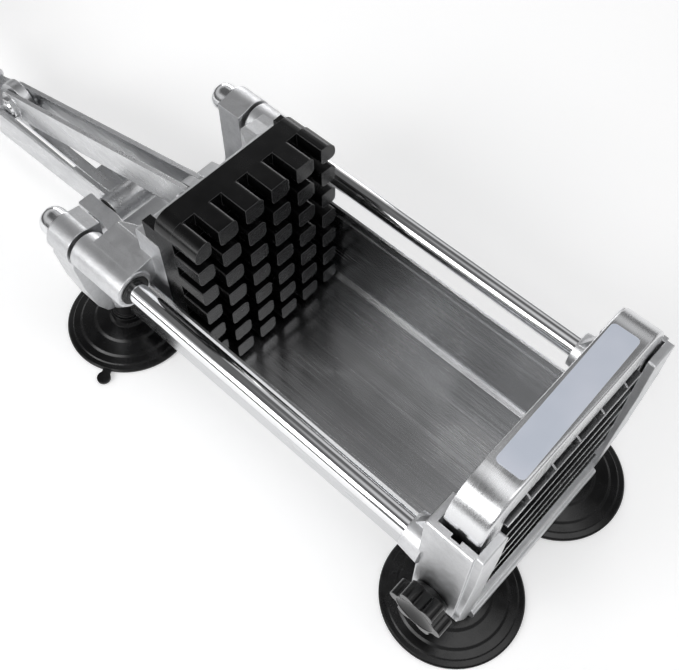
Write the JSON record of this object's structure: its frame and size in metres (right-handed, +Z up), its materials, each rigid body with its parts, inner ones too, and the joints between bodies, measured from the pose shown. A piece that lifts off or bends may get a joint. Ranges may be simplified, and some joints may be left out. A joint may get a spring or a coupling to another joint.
{
  "type": "french fry cutter",
  "caption": "Hand lever potato chipper: a finger pusher slides on two rods through a tray into a lift-out blade grid, on suction cup feet.",
  "frame": {"origin": "on the ground, at the centre between the four suction cups", "axes": "+X from the lever towards the blades, +Y to the far side away from the clamp knob, +Z up"},
  "size_m": [0.6159, 0.1616, 0.1417],
  "materials": {
    "cast_aluminium": "blasted cast aluminium, satin",
    "polished_steel": "ground and polished rod steel",
    "stainless_sheet": "polished stainless sheet",
    "blade_steel": "ground stainless blade strip",
    "zinc_steel": "bright zinc plated steel",
    "nut_chrome": "chromed nut",
    "black_plastic": "moulded black plastic, satin",
    "bushing_plastic": "black sliding bushing plastic",
    "black_rubber": "glossy black suction cup rubber",
    "grip_rubber": "black grip rubber",
    "sticker": "blank pale sticker film, satin"
  },
  "bodies": {
    "frame": {"front_frame": "cast_aluminium", "rear_bracket": "cast_aluminium", "guide_rod_near": "polished_steel", "guide_rod_far": "polished_steel", "rod_cap_nuts": "nut_chrome", "tray": "stainless_sheet", "tray_screws": "zinc_steel", "suction_cup_front_near": "black_rubber", "suction_cup_front_far": "black_rubber", "suction_cup_rear_near": "black_rubber", "suction_cup_rear_far": "black_rubber", "foot_studs": "zinc_steel", "foot_collars": "black_plastic", "fulcrum_bolt": "zinc_steel", "fulcrum_nut": "zinc_steel"},
    "carriage_unit": {"carriage": "cast_aluminium", "sleeve_bushings": "bushing_plastic", "pusher_block": "black_plastic", "pusher_screws": "zinc_steel", "carriage_pivot_bolt": "zinc_steel", "carriage_pivot_nut": "nut_chrome"},
    "link_unit": {"link_arm_near": "cast_aluminium", "link_arm_far": "cast_aluminium", "link_stub_bolts": "nut_chrome"},
    "lever_unit": {"lever": "cast_aluminium", "hub_bushings": "bushing_plastic", "handle_bar": "polished_steel", "handle_cross_pin": "zinc_steel", "grip": "grip_rubber", "grip_cap": "black_plastic"},
    "cartridge": {"blade_band": "stainless_sheet", "blade_face_plate": "stainless_sheet", "vertical_blades": "blade_steel", "horizontal_blades": "blade_steel", "cartridge_label": "sticker"},
    "clamp_tip": {"clamp_pad": "zinc_steel"},
    "clamp_handle": {"clamp_knob": "black_plastic", "clamp_screw": "zinc_steel"}
  },
  "joints": [
    {"name": "lever_swing", "type": "hinge", "parent": "frame", "child": "lever_unit", "pos_m": [-0.156, 0, 0.032], "axis": [0, 1, 0], "range_deg": [0, 125.2]},
    {"name": "carriage_slide", "type": "slide", "parent": "frame", "child": "carriage_unit", "axis": [1, 0, 0], "range_m": [0, 0.1608]},
    {"name": "link_swing", "type": "hinge", "parent": "carriage_unit", "child": "link_unit", "pos_m": [-0.092, 0, 0.086], "axis": [0, 1, 0], "range_deg": [0, 21.47]},
    {"name": "cartridge_lift", "type": "slide", "parent": "frame", "child": "cartridge", "axis": [0, 0, 1], "range_m": [0, 0.108]},
    {"name": "clamp_travel", "type": "slide", "parent": "frame", "child": "clamp_tip", "axis": [0, -1, 0], "range_m": [0, 0.00201]},
    {"name": "knob_turn", "type": "hinge", "parent": "clamp_tip", "child": "clamp_handle", "pos_m": [0.1138, -0.07, 0.0578], "axis": [0, -1, 0], "range_deg": [0, 480]}
  ],
  "couplings": [
    {"joint": "carriage_slide", "follows": "lever_swing", "m_per_rad": 0.073565},
    {"joint": "link_swing", "follows": "lever_swing", "ratio": 0.17131},
    {"joint": "clamp_travel", "follows": "knob_turn", "m_per_rad": 0.00023873}
  ]
}
